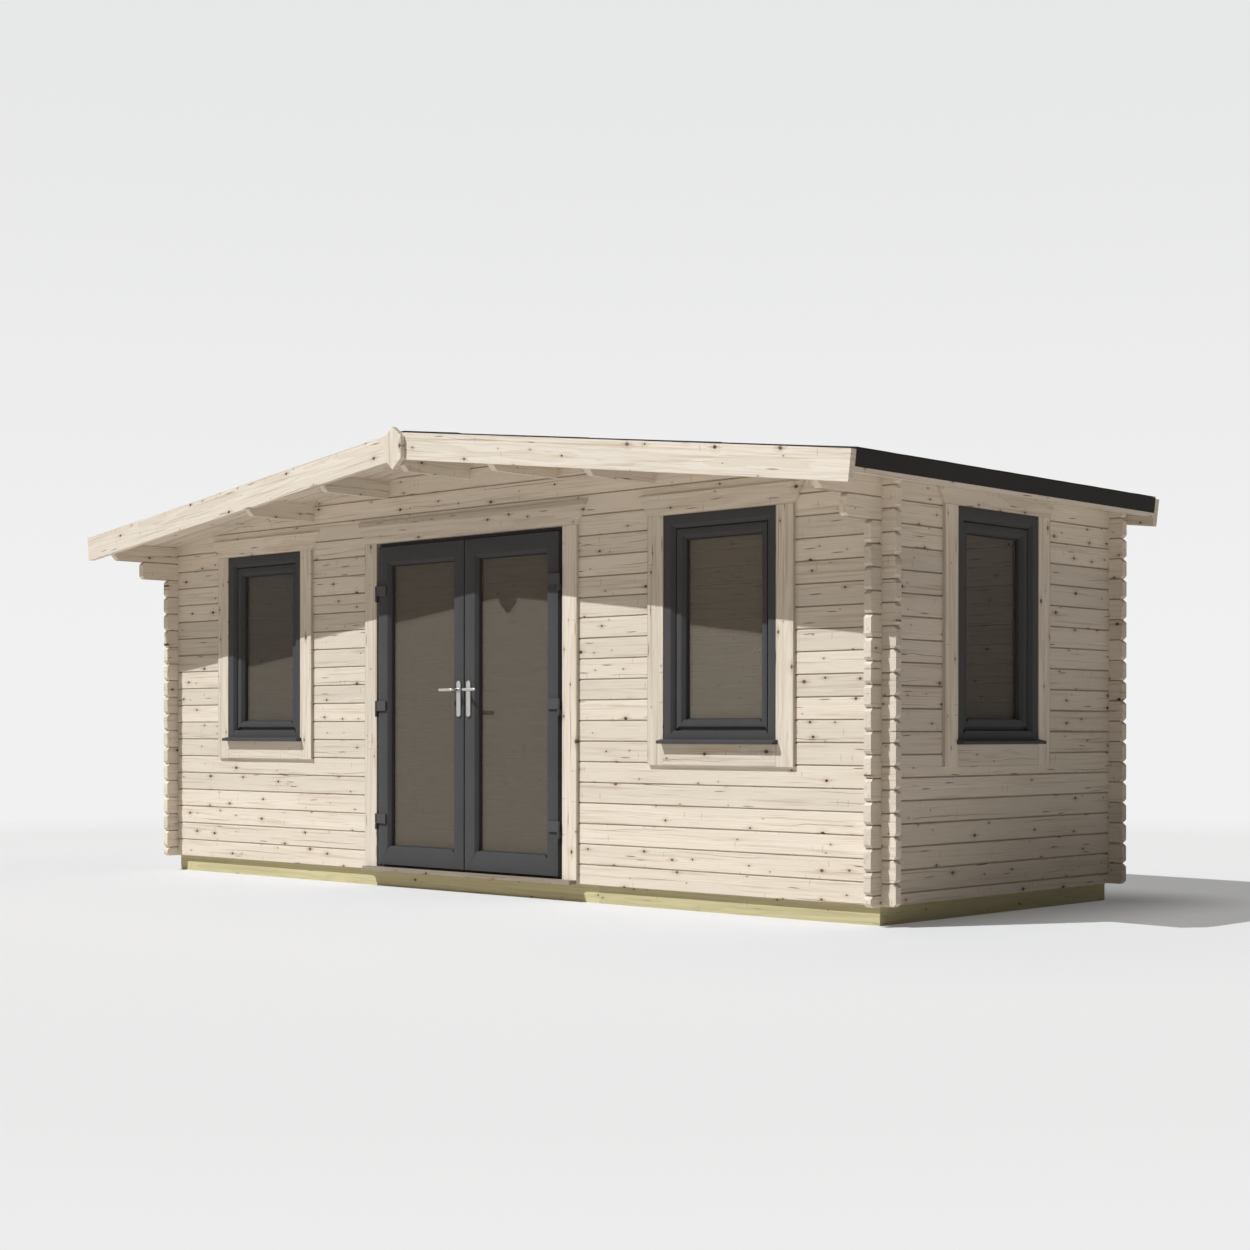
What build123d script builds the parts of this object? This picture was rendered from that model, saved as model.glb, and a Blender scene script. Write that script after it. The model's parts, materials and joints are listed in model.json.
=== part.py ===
from build123d import *
import os
from math import atan, ceil, cos, sin

# Log cabin with a wide gable front, a canopy over double doors and three windows.
# Millimetres, +Z up, front towards -Y, origin on the ground under the middle of the walls.

# Log walls
course = 114.0              # height of one log
log_thickness = 44.0
wall_width = 6020.0         # over the outer faces of the side walls
wall_depth = 2176.0         # over the outer faces of the front and back walls
front_rows = 18             # whole logs in the front wall, up to the eaves
log_projection = 86.0       # log ends past the crossing wall
log_chamfer = 6.0           # bevel along a log's outer edges, and along its lower edge inside
end_bevel = 18.0            # bevel above and below at a log's end
log_gap = 0.4               # hairline between logs in a wall
half_course_share = 0.5     # side walls start with half a log
notch_share = 0.25          # of a log's height, cut above and below at a crossing
notch_fit = 0.3             # play around a log in a notch
corbel_length = 280.0       # second log of a side wall, past the front wall's face

# Base
base_height = 98.0
base_inset = 32.0           # bearers set back from the wall faces
bearer_width = 70.0
joist_width = 62.0
joist_count = 9
floor_thickness = 18.0

# Roof
rise_share = 0.1221         # rise for each unit of run
canopy_depth = 539.0        # front wall to the face of the bargeboards
rear_overhang = 114.0
eaves_overhang = 216.0
roof_board = 19.0
roof_cover = 68.0           # felt over its insulation
cover_lip = 9.0             # felt turned down over the eaves
batten_width = 40.0
batten_height = 24.0
barge_thickness = 40.0
barge_depth = 152.0
barge_rise = 79.0           # top edge above the underside of the roof boards
purlin_thickness = 44.0
purlin_spacing = 739.0
purlins_a_side = 2
purlin_depth = 106.0
ridge_depth = 138.0
purlin_bevel = 34.0
purlin_fit = 0.3
roof_seat = 0.3             # hairline under the roof boards
ridge_gap = 0.4             # hairline where the two slopes meet
finial_width = 142.0
finial_height = 243.0
finial_thickness = 30.0
finial_top_point = 55.0
finial_low_point = 62.0
finial_rise = 28.0          # tip above the ridge of the bargeboards

# Frames of the windows and the doorway
bar_slope = 20.0            # bars slope back to their opening, as wide as deep
frame_fit = 0.3             # around a frame in its opening
trim_thickness = 18.0
trim_width = 114.0
trim_gap = 0.4              # hairline between trim boards

# Windows
window_width = 778.0
side_window_width = 750.0
window_bottom = 886.0
window_top = 2102.0
window_centre = 1968.0      # front windows, from the middle of the wall
side_window_centre = -87.0  # from the middle of the side wall, towards the front
window_proud = 14.0         # frame in front of the wall face
window_depth = 76.0
window_face = 50.0          # flat part of the frame bars
sash_face = 32.0            # flat part of the sash bars
sash_recess = 20.0          # behind the front of its frame
sash_groove = 6.0           # around the sash, in its frame
groove_depth = 12.0
window_head = 114.0         # height of the head board
window_flare = 66.0         # head board, wider at the top on each side
sill_height = 24.0
sill_reach = 30.0           # in front of the trim
sill_fall = 8.0             # slope of its top
sill_horn = 21.0            # past the frame on each side

# Glass
glass_thickness = 14.0
glass_rebate = 12.0         # depth of the groove that holds the pane
glass_fit = 0.3
glass_back = 52.0           # behind the front of its sash or leaf

# Doorway
door_width = 1622.0         # over the frame
door_top = 2100.0
jamb_face = 20.0
jamb_recess = 12.0          # behind the wall face
jamb_depth = 32.0
threshold_height = 33.0
door_sill_height = 24.0
door_sill_reach = 56.0      # in front of the wall face
door_sill_width = 1810.0
door_head = 134.0
door_flare = 72.0
sill_seat = 0.3             # hairline between the jamb boards and the sill

# Door leaves
leaf_gap = 6.0              # to the frame
meeting_gap = 9.0
leaf_proud = 25.0           # in front of the wall face
leaf_depth = 58.0
stile_face = 84.0           # flat part of the upright bars
rail_face = 94.0            # flat part of the level bars

# Hinges
hinge_heights = [417.0, 1106.0, 1807.0]
barrel_radius = 8.0
barrel_sides = 12
barrel_half = 30.0          # height of each half of a barrel
barrel_gap = 0.5            # between the two halves
barrel_proud = 8.0          # axis in front of the leaf
barrel_offset = 13.0        # axis beside the leaf
pin_radius = 4.0
bore_sides = 8
pin_fit = 0.5
pin_length = 24.0
flag_width = 90.0           # on the leaf
flag_thickness = 4.0
jamb_flag = 10.0            # thickness of the part that reaches back to the jamb

# Handles
handle_offset = 43.0        # from the meeting line
plate_bottom = 1035.0
plate_height = 213.0
plate_width = 32.0
plate_thickness = 9.0
plate_corner = 10.0         # cut off at each corner
lever_height = 1194.0
neck_radius = 8.0
neck_length = 44.0
neck_seat = 0.4             # hairline between the neck and its plate
lever_length = 118.0        # from the neck's axis to the tip
lever_depth = 12.0
lever_face = 18.0
lever_corner = 6.0          # cut off at each corner of the bar

overrun = 20.0              # cutting tools run past what they cut
quarter_turn = 90           # degrees

# Values worked out from the sizes above
half_width = wall_width / 2
half_depth = wall_depth / 2
pitch = atan(rise_share)
cos_pitch = cos(pitch)
sin_pitch = sin(pitch)
side_top = base_height + (front_rows + half_course_share) * course
ridge_underside = side_top + (half_width - log_thickness) * rise_share
slope_length = (half_width + eaves_overhang) / cos_pitch
roof_front = -half_depth - canopy_depth + barge_thickness
roof_back = half_depth + rear_overhang - barge_thickness
gable_rows = ceil((ridge_underside - base_height) / course)
leaf_front = -half_depth - leaf_proud
jamb_front = -half_depth + jamb_recess
purlin_places = [step * purlin_spacing for step in range(-purlins_a_side, purlins_a_side + 1)]
jamb_inner = door_width / 2 - jamb_face
leaf_outer = jamb_inner - leaf_gap
leaf_bottom = base_height + threshold_height + leaf_gap
leaf_top = door_top - jamb_face - leaf_gap
hinge_x = leaf_outer + barrel_offset
hinge_y = leaf_front - barrel_proud


def block(x0, x1, y0, y1, z0, z1):
    """A box between two corners."""
    middle = Pos((x0 + x1) / 2, (y0 + y1) / 2, (z0 + z1) / 2)
    return middle * Box(x1 - x0, y1 - y0, z1 - z0)


def prism_along_x(points, x0, x1):
    """An outline of (y, z) points run from x0 to x1."""
    outline = make_face(Polyline(*points, close=True))
    return extrude(Plane.YZ.offset(x0) * outline, amount=x1 - x0)


def prism_along_y(points, y0, y1):
    """An outline of (x, z) points run from y0 to y1."""
    outline = make_face(Polyline(*points, close=True))
    return extrude(Plane.XZ.offset(-y0) * outline, amount=y0 - y1)


def across(shapes):
    """Like pieces on the other side of the middle plane."""
    return [mirror(shape, Plane.YZ) for shape in shapes]


def to_back(shapes):
    """Like pieces at the back of the cabin."""
    return [mirror(shape, Plane.XZ) for shape in shapes]


def to_right_wall(shapes):
    """Pieces drawn for a front wall, turned to the right-hand wall."""
    return [Rot(0, 0, quarter_turn) * shape for shape in shapes]


def save(name, shapes):
    """Write the solids of one node."""
    solids = [solid for shape in shapes for solid in shape.solids()]
    export_step(Compound(children=solids), f"parts/{name}.step")


# Roof slope: points at a distance along the slope and a height off the underside of the boards

def slope_point(along, off):
    """A point of the right-hand slope, as (x, z)."""
    x = along * cos_pitch + off * sin_pitch
    z = ridge_underside - along * sin_pitch + off * cos_pitch
    return x, z


def ridge_point(off):
    """The point of that layer beside the middle plane."""
    along = (ridge_gap / 2 - off * sin_pitch) / cos_pitch
    return slope_point(along, off)


def underside(x):
    """Height of the underside of the roof boards."""
    return ridge_underside - abs(x) * rise_share


def above_roof():
    """Everything over the underside of the roof boards."""
    reach = half_width + eaves_overhang
    top = ridge_underside + course
    points = [(-reach, underside(reach) - roof_seat), (0, ridge_underside - roof_seat),
              (reach, underside(reach) - roof_seat), (reach, top), (-reach, top)]
    return prism_along_y(points, roof_front - overrun, roof_back + overrun)


# Logs

def log(x0, x1, low, high, face, bevelled_ends=True):
    """A log from x0 to x1 behind a wall face; low and high count courses from the base."""
    z0 = base_height + low * course
    z1 = base_height + high * course - log_gap
    inner = face + log_thickness
    edge = log_chamfer
    outline = [(face, z0 + edge), (face + edge, z0), (inner - edge, z0), (inner, z0 + edge),
               (inner, z1), (face + edge, z1), (face, z1 - edge)]
    body = prism_along_x(outline, x0, x1)
    if bevelled_ends:
        end = end_bevel
        length = [(x0, z0 + end), (x0 + end, z0), (x1 - end, z0), (x1, z0 + end),
                  (x1, z1 - end), (x1 - end, z1), (x0 + end, z1), (x0, z1 - end)]
        body = body & prism_along_y(length, face - overrun, inner + overrun)
    return body


def notches(low, high, crossing, face, under=True):
    """Cuts above and below a log where the crossing walls pass through it."""
    half = log_thickness / 2 + notch_fit
    y0 = face - overrun
    y1 = face + log_thickness + overrun
    upper = base_height + (high - notch_share) * course - log_gap
    lower = base_height + (low + notch_share) * course
    cuts = []
    for x in (-crossing, crossing):
        cuts.append(block(x - half, x + half, y0, y1, upper, upper + course))
        if under:
            cuts.append(block(x - half, x + half, y0, y1, lower - course, lower))
    return cuts


def opening(centre, width, z0, z1, face):
    """The hole in a wall for a frame."""
    half = width / 2 + frame_fit
    y1 = face + log_thickness + overrun
    return block(centre - half, centre + half, face - overrun, y1, z0 - frame_fit, z1 + frame_fit)


def long_wall(openings):
    """Rows of logs of the front or back wall, up to the eaves: one notched log, repeated."""
    crossing = half_width - log_thickness / 2
    reach = half_width + log_projection
    body = log(-reach, reach, 0, 1, -half_depth) - notches(0, 1, crossing, -half_depth)
    rows = [Pos(0, 0, row * course) * body for row in range(front_rows)]
    return [row - openings for row in rows] if openings else rows


def gable():
    """Logs over the eaves, cut to the roof slope and let in around the purlins."""
    crossing = half_width - log_thickness / 2
    reach = half_width + log_projection
    pockets = [above_roof()] + [purlin(x, purlin_fit) for x in purlin_places]
    rows = []
    for row in range(front_rows, gable_rows):
        lowest = row == front_rows
        body = log(-reach, reach, row, row + 1, -half_depth, bevelled_ends=lowest)
        cuts = notches(row, row + 1, crossing, -half_depth) if lowest else []
        rows.append(body - (pockets + cuts))
    return rows


def side_wall(openings):
    """Rows of logs of the right-hand wall; the two top rows reach out under the canopy."""
    crossing = half_depth - log_thickness / 2
    reach = half_depth + log_projection
    half = half_course_share
    bottom = log(-reach, reach, 0, half, -half_width)
    bottom = bottom - notches(0, half, crossing, -half_width, under=False)
    cuts = notches(half, half + 1, crossing, -half_width)
    body = log(-reach, reach, half, half + 1, -half_width) - cuts
    corbel = log(-half_depth - corbel_length, reach, half, half + 1, -half_width) - cuts
    beam = log(roof_front, roof_back, half, half + 1, -half_width) - cuts
    rows = [body] * (front_rows - 2) + [corbel, beam]
    rows = [bottom] + [Pos(0, 0, step * course) * row for step, row in enumerate(rows)]
    turned = to_right_wall([row - openings for row in rows] if openings else rows)
    turned[-1] = turned[-1] - (nose(half_width - log_thickness / 2, turned[-1]) + [above_roof()])
    return turned


# Purlins

def nose(x, beam):
    """The bevel under the front end of a beam that reaches out to the bargeboards."""
    low = beam.bounding_box().min.Z
    points = [(roof_front - overrun, low - overrun), (roof_front + purlin_bevel + overrun, low - overrun),
              (roof_front - overrun, low + purlin_bevel + overrun)]
    return [prism_along_x(points, x - log_thickness, x + log_thickness)]


def purlin(x, play=0):
    """A beam under the roof from the front to the rear bargeboards, with room around it if asked."""
    depth = ridge_depth if x == 0 else purlin_depth
    half = purlin_thickness / 2 + play
    bottom = underside(x) - depth - play
    beam = block(x - half, x + half, roof_front, roof_back, bottom, ridge_underside)
    if play:
        return beam
    return beam - (nose(x, beam) + [above_roof()])


# Roof

def slab(low, high, start, end):
    """A layer of the right-hand slope between two heights off the underside."""
    points = [ridge_point(low), slope_point(slope_length, low), slope_point(slope_length, high),
              ridge_point(high)]
    return prism_along_y(points, start, end)


def roof_layers():
    """Boards, cover and eaves batten of the right-hand slope."""
    board_end = slope_length - cover_lip
    top = roof_board + roof_cover
    boards = [ridge_point(0), slope_point(board_end, 0), slope_point(board_end, roof_board),
              ridge_point(roof_board)]
    cover = [ridge_point(roof_board), slope_point(board_end, roof_board), slope_point(board_end, 0),
             slope_point(slope_length, 0), slope_point(slope_length, top), ridge_point(top)]
    batten = [slope_point(slope_length - batten_width, -batten_height),
              slope_point(slope_length, -batten_height), slope_point(slope_length, 0),
              slope_point(slope_length - batten_width, 0)]
    return [prism_along_y(points, roof_front, roof_back) for points in (boards, cover, batten)]


def finial():
    """A long hexagon with a point above and below, on the joint of the bargeboards."""
    tip = ridge_underside + barge_rise / cos_pitch + finial_rise
    foot = tip - finial_height
    half = finial_width / 2
    points = [(0, tip), (half, tip - finial_top_point), (half, foot + finial_low_point), (0, foot),
              (-half, foot + finial_low_point), (-half, tip - finial_top_point)]
    front = roof_front - barge_thickness
    return prism_along_y(points, front - finial_thickness, front)


# Windows, drawn on a front wall whose face is given

def bars(x0, x1, z0, z1, stile, rail, y0, y1):
    """A rectangular frame of flat stiles and rails that slope back to their opening."""
    side = stile + bar_slope
    end = rail + bar_slope
    hole = block(x0 + side, x1 - side, y0 - overrun, y1 + overrun, z0 + end, z1 - end)
    frame = block(x0, x1, y0, y1, z0, z1) - hole
    front = frame.faces().sort_by(Axis.Y)[0]
    return chamfer(front.inner_wires()[0].edges(), bar_slope)


def pane(x0, x1, z0, z1, front):
    """A sealed glass unit for an aperture, and the groove that it sits in."""
    y0 = front + glass_back - glass_thickness
    y1 = front + glass_back
    deep = glass_rebate
    groove = block(x0 - deep, x1 + deep, y0, y1, z0 - deep, z1 + deep)
    near = deep - glass_fit
    glass = block(x0 - near, x1 + near, y0 + glass_fit, y1 - glass_fit, z0 - near, z1 + near)
    return glass, groove


def window_sash(x0, x1, z0, z1, y0, y1):
    """A sash with a groove around its front edge, and its glass."""
    face = sash_groove + sash_face
    step = sash_groove
    rim = block(x0 + step, x1 - step, y0 - overrun, y0 + groove_depth, z0 + step, z1 - step)
    around = block(x0 - overrun, x1 + overrun, y0 - overrun, y0 + groove_depth,
                   z0 - overrun, z1 + overrun) - rim
    reveal = face + bar_slope
    glass, groove = pane(x0 + reveal, x1 - reveal, z0 + reveal, z1 - reveal, y0)
    return bars(x0, x1, z0, z1, face, face, y0, y1) - [around, groove], glass


def window(centre, width, wall_face):
    """Frame, sash, glass, sill and trim boards of one window."""
    front = wall_face - window_proud
    back = front + window_depth
    half = width / 2
    frame = bars(centre - half, centre + half, window_bottom, window_top, window_face, window_face,
                 front, back)
    inset = window_face + bar_slope + frame_fit
    sash, glass = window_sash(centre - half + inset, centre + half - inset, window_bottom + inset,
                              window_top - inset, front + sash_recess, back)
    trim_front = wall_face - trim_thickness
    nose_y = trim_front - sill_reach
    top = window_bottom + sill_height
    profile = [(trim_front, window_bottom), (trim_front, top), (nose_y, top - sill_fall),
               (nose_y, window_bottom)]
    half_sill = half + sill_horn
    sill = prism_along_x(profile, centre - half_sill, centre + half_sill)
    boards = trim_boards(centre, width, wall_face, window_bottom - trim_width, window_top,
                         window_head, window_flare)
    apron = block(centre - half, centre + half, trim_front, wall_face,
                  window_bottom - trim_width, window_bottom - trim_gap)
    return frame, sash, glass, sill, boards + [apron]


def trim_boards(centre, width, wall_face, z0, z1, head, flare):
    """Two jamb boards beside a frame and a head board that widens upwards."""
    front = wall_face - trim_thickness
    near = width / 2 + trim_gap
    far = near + trim_width
    jambs = [block(centre + side * (near + far) / 2 - trim_width / 2,
                   centre + side * (near + far) / 2 + trim_width / 2,
                   front, wall_face, z0, z1) for side in (-1, 1)]
    low = z1 + trim_gap
    points = [(centre - far, low), (centre + far, low), (centre + far + flare, low + head),
              (centre - far - flare, low + head)]
    return jambs + [prism_along_y(points, front, wall_face)]


# Doorway

def door_frame():
    """Two jambs, a head and a threshold, butted with a hairline between them."""
    half = door_width / 2
    back = jamb_front + jamb_depth
    inner = jamb_inner - trim_gap
    sill_top = base_height + threshold_height
    jamb = block(jamb_inner, half, jamb_front, back, base_height, door_top)
    head = block(-inner, inner, jamb_front, back, door_top - jamb_face, door_top)
    threshold = block(-inner, inner, jamb_front, back, base_height, sill_top)
    return [jamb, head, threshold] + across([jamb])


def door_sill():
    """A board under the doors, let in to the doorway as far as the threshold."""
    half = door_sill_width / 2
    top = base_height + door_sill_height
    board = block(-half, half, -half_depth - door_sill_reach, -half_depth, base_height, top)
    inner = door_width / 2
    return board + block(-inner, inner, -half_depth, jamb_front - sill_seat, base_height, top)


def right_leaf():
    """The right-hand leaf and its glass."""
    x0 = meeting_gap / 2
    side = stile_face + bar_slope
    end = rail_face + bar_slope
    leaf = bars(x0, leaf_outer, leaf_bottom, leaf_top, stile_face, rail_face,
                leaf_front, leaf_front + leaf_depth)
    glass, groove = pane(x0 + side, leaf_outer - side, leaf_bottom + end, leaf_top - end, leaf_front)
    return leaf - groove, glass


def rod(radius, z0, z1, sides=0):
    """A rod on the right-hand hinge axis, with flat sides around a circle, or round if it has none."""
    section = RegularPolygon(radius, sides, major_radius=False) if sides else Circle(radius)
    return Pos(hinge_x, hinge_y, z0) * extrude(section, amount=z1 - z0)


def hinge(z):
    """The half of one hinge on the jamb, with its pin, and the half on the leaf."""
    half = jamb_flag / 2
    low = z - barrel_half
    high = z + barrel_half
    leg = block(hinge_x - half, hinge_x + half, hinge_y, jamb_front, low, z)
    jamb_half = rod(barrel_radius, low, z, barrel_sides) + leg
    jamb_half = jamb_half + rod(pin_radius, low, z + pin_length)
    start = z + barrel_gap
    front = leaf_front - flag_thickness
    flag = block(hinge_x - flag_width, leaf_outer, front, leaf_front, low, high)
    flag = flag + block(leaf_outer, hinge_x, front, leaf_front, start, high)
    bore = rod(pin_radius + pin_fit, z, z + pin_length + pin_fit, bore_sides)
    return jamb_half, rod(barrel_radius, start, high, barrel_sides) + flag - bore


def handle_plate(front, back):
    """A long backplate with its corners cut off, between two depths."""
    outline = chamfer(Rectangle(plate_width, plate_height).vertices(), plate_corner)
    outline = Pos(handle_offset, plate_bottom + plate_height / 2) * outline
    return extrude(Plane.XZ.offset(-front) * outline, amount=front - back)


def lever(plate_face, outward):
    """A neck and a lever bar towards the hinges, in front of a backplate's face."""
    start = plate_face + outward * neck_seat
    end = plate_face + outward * neck_length
    place = Pos(handle_offset, lever_height)
    neck = extrude(Plane.XZ.offset(-start) * place * Circle(neck_radius), amount=start - end)
    bar = chamfer(Rectangle(lever_length + lever_face / 2, lever_face).vertices(), lever_corner)
    bar = Pos(lever_length - (lever_length + lever_face / 2) / 2, 0) * bar
    return neck + extrude(Plane.XZ.offset(-end) * place * bar, amount=outward * -lever_depth)


# Base

def bearers():
    """Four bearers around the base, set back under the walls."""
    x = half_width - base_inset
    y = half_depth - base_inset
    front = block(-x, x, -y, -y + bearer_width, 0, base_height)
    side = block(x - bearer_width, x, -y + bearer_width + log_gap, y - bearer_width - log_gap,
                 0, base_height)
    return [front, side] + to_back([front]) + across([side])


def joists():
    """Joists from the front bearer to the back one, one of them under the middle."""
    reach = half_width - base_inset - bearer_width
    spacing = 2 * reach / (joist_count + 1)
    end = half_depth - base_inset - bearer_width - log_gap
    places = [(step - (joist_count - 1) / 2) * spacing for step in range(joist_count)]
    half = joist_width / 2
    return [block(x - half, x + half, -end, end, 0, base_height) for x in places]


def floor():
    """The floor inside the walls, on the bearers and joists."""
    x = half_width - log_thickness - log_gap
    y = half_depth - log_thickness - log_gap
    return block(-x, x, -y, y, base_height, base_height + floor_thickness)


os.makedirs("parts", exist_ok=True)

save("perimeter_bearers", bearers())
save("floor_joists", joists())
save("floor_boards", [floor()])

# Front wall, split beside and over the doorway
front_openings = [opening(side * window_centre, window_width, window_bottom, window_top, -half_depth)
                  for side in (-1, 1)]
front_openings.append(opening(0, door_width, base_height, door_top, -half_depth))
front = long_wall(front_openings)
pieces = [solid for row in front[:-1] for solid in row.solids()]
save("front_wall_left", [piece for piece in pieces if piece.center().X < 0])
save("front_wall_right", [piece for piece in pieces if piece.center().X > 0])
save("front_lintel_log", front[-1:])
gable_logs = gable()
save("front_gable", gable_logs)
save("back_gable", to_back(gable_logs))
save("back_wall", to_back(long_wall([])))
side_opening = opening(side_window_centre, side_window_width, window_bottom, window_top, -half_width)
save("right_wall", side_wall([side_opening]))
save("left_wall", across(side_wall([])))

# Roof
save("ridge_purlin", [purlin(0)])
save("side_purlins", [purlin(x) for x in purlin_places if x != 0])
boards, cover, batten = roof_layers()
save("roof_boards_right", [boards])
save("roof_boards_left", across([boards]))
save("roof_cover_right", [cover])
save("roof_cover_left", across([cover]))
save("eaves_battens", [batten] + across([batten]))
barge_low = barge_rise - barge_depth
front_barge = slab(barge_low, barge_rise, roof_front - barge_thickness, roof_front)
rear_barge = slab(barge_low, barge_rise, roof_back, roof_back + barge_thickness)
save("front_bargeboards", [front_barge] + across([front_barge]))
save("rear_bargeboards", [rear_barge] + across([rear_barge]))
save("front_finial", [finial()])

# Windows
sets = {"right": window(window_centre, window_width, -half_depth),
        "left": window(-window_centre, window_width, -half_depth),
        "side": window(side_window_centre, side_window_width, -half_width)}
sills = []
for place, (frame, sash, glass, sill, trim) in sets.items():
    turn = to_right_wall if place == "side" else list
    trim = [board - above_roof() for board in turn(trim)]
    save(f"window_frame_{place}", turn([frame]))
    save(f"window_sash_{place}", turn([sash]))
    save(f"window_glass_{place}", turn([glass]))
    save(f"window_trim_{place}", trim)
    sills += turn([sill])
save("window_sills", sills)

# Doorway and doors
save("door_frame", door_frame())
save("door_sill", [door_sill()])
sill_top = base_height + door_sill_height + sill_seat
save("door_trim", trim_boards(0, door_width, -half_depth, sill_top, door_top, door_head, door_flare))
leaf, leaf_glass = right_leaf()
leaf_back = leaf_front + leaf_depth
plates = [handle_plate(leaf_front - plate_thickness, leaf_front),
          handle_plate(leaf_back, leaf_back + plate_thickness)]
levers = [lever(leaf_front - plate_thickness, -1), lever(leaf_back + plate_thickness, 1)]
hinges = [hinge(z) for z in hinge_heights]
jamb_halves = [jamb_half for jamb_half, leaf_half in hinges]
leaf_halves = [leaf_half for jamb_half, leaf_half in hinges]
save("hinge_jamb_halves", jamb_halves + across(jamb_halves))
for side, place in (("right", list), ("left", across)):
    save(f"door_leaf_{side}", place([leaf]))
    save(f"door_glass_{side}", place([leaf_glass]))
    save(f"door_plates_{side}", place(plates))
    save(f"door_lever_{side}", place(levers))
    save(f"door_hinges_{side}", place(leaf_halves))
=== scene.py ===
# %% [markdown]
# # Dressing a log cabin
# The cabin arrives as plain solids in metres: front towards -Y, ground at z = 0. This lesson gives
# every surface its finish and adds what is too fine for the solids: separate roof and floor boards,
# lapped felt, moulded window bars, handles and hinges. The solids themselves are never moved.

# %% Load the solids
import json
import math

import bmesh
import bpy
import numpy as np
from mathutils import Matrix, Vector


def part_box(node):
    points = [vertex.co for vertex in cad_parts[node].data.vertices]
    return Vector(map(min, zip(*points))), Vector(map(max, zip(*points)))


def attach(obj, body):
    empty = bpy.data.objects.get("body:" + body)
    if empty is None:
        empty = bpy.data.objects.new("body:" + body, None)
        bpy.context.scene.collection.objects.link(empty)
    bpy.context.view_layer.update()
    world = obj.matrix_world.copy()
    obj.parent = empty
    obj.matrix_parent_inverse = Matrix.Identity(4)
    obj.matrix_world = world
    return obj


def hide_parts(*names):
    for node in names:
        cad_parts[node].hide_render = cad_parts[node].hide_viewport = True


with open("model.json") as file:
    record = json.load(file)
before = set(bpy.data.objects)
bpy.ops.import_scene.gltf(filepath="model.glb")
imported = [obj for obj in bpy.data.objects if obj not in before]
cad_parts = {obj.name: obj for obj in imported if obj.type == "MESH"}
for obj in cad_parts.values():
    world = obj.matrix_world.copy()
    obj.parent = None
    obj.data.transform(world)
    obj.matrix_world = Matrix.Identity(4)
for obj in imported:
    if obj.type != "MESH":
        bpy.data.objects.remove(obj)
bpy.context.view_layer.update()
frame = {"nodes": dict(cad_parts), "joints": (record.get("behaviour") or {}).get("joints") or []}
nodes = frame["nodes"]

# %% [markdown]
# ## Camera
# The picture is taken from the front right, at about eye level for someone sitting, with a normal
# lens. A level camera keeps the walls upright, and a small upward shift of the lens, as on an
# architect's camera, leaves more room above the roof without tilting it.

# %% Camera
camera_place = (8.9612, -9.1066, 0.9548)
camera_heading = 0.75151
camera_tilt = -0.00388
camera_roll = -0.00079
lens_mm = 58.729
sensor_mm = 36.0
lens_shift = (-0.02005, 0.09092)

lens = bpy.data.cameras.new("camera")
lens.lens = lens_mm
lens.sensor_width = sensor_mm
lens.shift_x, lens.shift_y = lens_shift
camera = bpy.data.objects.new("camera", lens)
camera.location = camera_place
camera.rotation_euler = (math.pi / 2 + camera_tilt, camera_roll, camera_heading)
bpy.context.scene.collection.objects.link(camera)
bpy.context.scene.camera = camera
print("camera at", camera_place)

# %% [markdown]
# ## Shader sums in Python
# A material in Blender is a graph of nodes. Wiring it by hand gets long, so one small class wraps an
# output socket: adding or multiplying two of them adds a Math node, and the method `node` adds any
# other node. The graph can then be read as a formula.

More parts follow.
